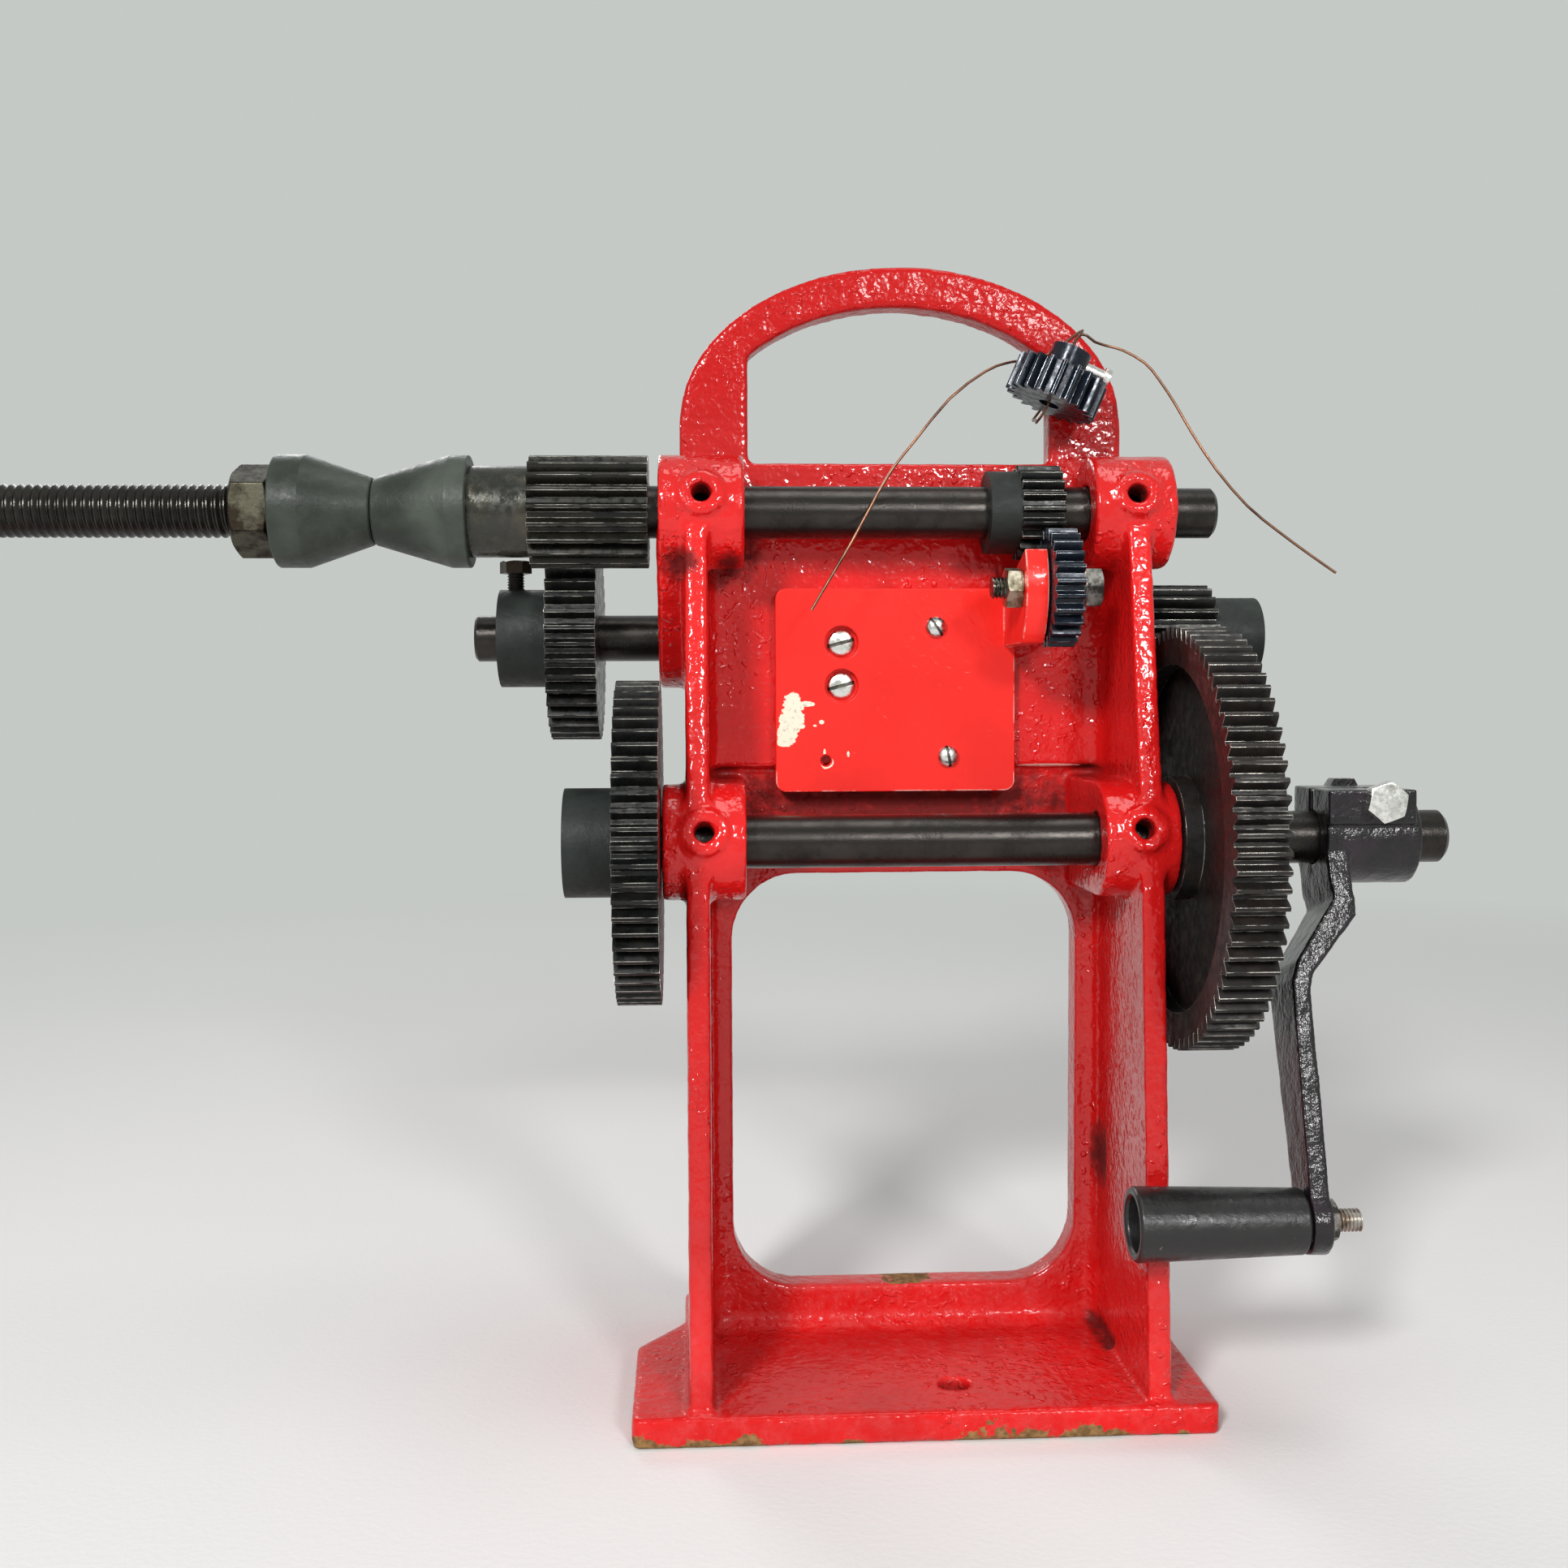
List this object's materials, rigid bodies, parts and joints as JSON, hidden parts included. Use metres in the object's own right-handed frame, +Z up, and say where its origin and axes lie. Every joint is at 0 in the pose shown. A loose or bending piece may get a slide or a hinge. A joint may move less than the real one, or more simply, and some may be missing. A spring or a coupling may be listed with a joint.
{
  "type": "hand coil winding machine",
  "caption": "Hand-cranked geared coil winding machine: cast frame with carrying arch, stepped gear train, threaded winding spindle with two cones, and a bracket for a turns counter.",
  "frame": {"origin": "middle of the base plate's width, in the plane of the winding spindle's axis, on the underside of the base", "axes": "+X along the shafts towards the crank, +Y towards the back of the frame, +Z up"},
  "size_m": [0.4463, 0.1295, 0.3178],
  "materials": {
    "red_enamel": "glossy brushed-on enamel over a rough casting",
    "red_enamel_bracket": "glossy enamel with a chip",
    "black_gear": "oiled black, worn bright on the tooth edges",
    "dark_hub": "matt dark grey-green",
    "drive_gear_black": "matt black with a brown rim",
    "dark_shaft": "dark brown polished steel",
    "oily_thread": "oily black threaded steel",
    "worn_nut": "worn brown-grey steel",
    "blue_black_gear": "blue-black oiled steel",
    "zinc": "bright zinc, yellowish",
    "black_screw": "black oxide",
    "set_screw_steel": "plain steel",
    "crank_black": "glossy black on a rough casting",
    "grip_black": "satin black, small chips",
    "copper_wire": "brown copper wire"
  },
  "bodies": {
    "frame": {"frame_casting": "red_enamel", "counter_bracket": "red_enamel_bracket", "bracket_screws": "zinc", "counter_screws": "zinc", "idler_bolt": "zinc", "idler_washer": "worn_nut", "idler_nut": "zinc", "spare_counter_gear": "blue_black_gear", "spare_gear_screw": "zinc", "tie_wire": "copper_wire"},
    "drive": {"main_shaft": "dark_shaft", "drive_gear": "drive_gear_black", "drive_gear_screw": "set_screw_steel", "low_speed_gear": "black_gear", "low_gear_screw": "set_screw_steel", "crank_arm": "crank_black", "crank_clamp_bolt": "zinc", "crank_clamp_nut": "zinc", "grip_bolt": "zinc", "grip_nut": "zinc"},
    "grip": {"crank_grip": "grip_black"},
    "counter": {"countershaft": "dark_shaft", "countershaft_pinion": "black_gear", "pinion_set_screw": "set_screw_steel"},
    "shift": {"sliding_gear": "black_gear", "sliding_gear_screw": "black_screw"},
    "spindle": {"spindle_shaft": "oily_thread", "spindle_pinion": "black_gear", "inner_cone": "dark_hub", "counter_drive_gear": "black_gear", "counter_gear_screw": "set_screw_steel"},
    "outer_cone": {"outer_cone": "dark_hub"},
    "nut": {"spindle_nut": "worn_nut"},
    "idler": {"idler_gear": "blue_black_gear"}
  },
  "joints": [
    {"name": "crank_turn", "type": "hinge", "parent": "frame", "child": "drive", "pos_m": [0.1, -0.01683, 0.15542], "axis": [-1, 0, 0], "range_deg": [0, 155]},
    {"name": "grip_spin", "type": "hinge", "parent": "drive", "child": "grip", "pos_m": [0.075, -0.04843, 0.05792], "axis": [-1, 0, 0], "continuous": true},
    {"name": "countershaft_turn", "type": "hinge", "parent": "frame", "child": "counter", "pos_m": [0, 0.02524, 0.21206], "axis": [-1, 0, 0], "range_deg": [-621, 1]},
    {"name": "gear_shift", "type": "slide", "parent": "counter", "child": "shift", "axis": [1, 0, 0], "range_m": [-0.002, 0.005]},
    {"name": "spindle_turn", "type": "hinge", "parent": "frame", "child": "spindle", "pos_m": [0, 0, 0.24605], "axis": [-1, 0, 0], "range_deg": [-1, 1241]},
    {"name": "idler_turn", "type": "hinge", "parent": "frame", "child": "idler", "pos_m": [0.0366, -0.01564, 0.22404], "axis": [-1, 0, 0], "range_deg": [-993, 1]},
    {"name": "nut_turn", "type": "hinge", "parent": "outer_cone", "child": "nut", "pos_m": [-0.18, 0, 0.24605], "axis": [-1, 0, 0], "range_deg": [-10, 9000]},
    {"name": "cone_slide", "type": "slide", "parent": "spindle", "child": "outer_cone", "axis": [-1, 0, 0], "range_m": [0, 0.055]}
  ],
  "couplings": [
    {"joint": "countershaft_turn", "follows": "crank_turn", "ratio": -4},
    {"joint": "spindle_turn", "follows": "crank_turn", "ratio": 8},
    {"joint": "idler_turn", "follows": "crank_turn", "ratio": -6.4},
    {"joint": "nut_turn", "follows": "cone_slide", "rad_per_m": 2731.8}
  ]
}
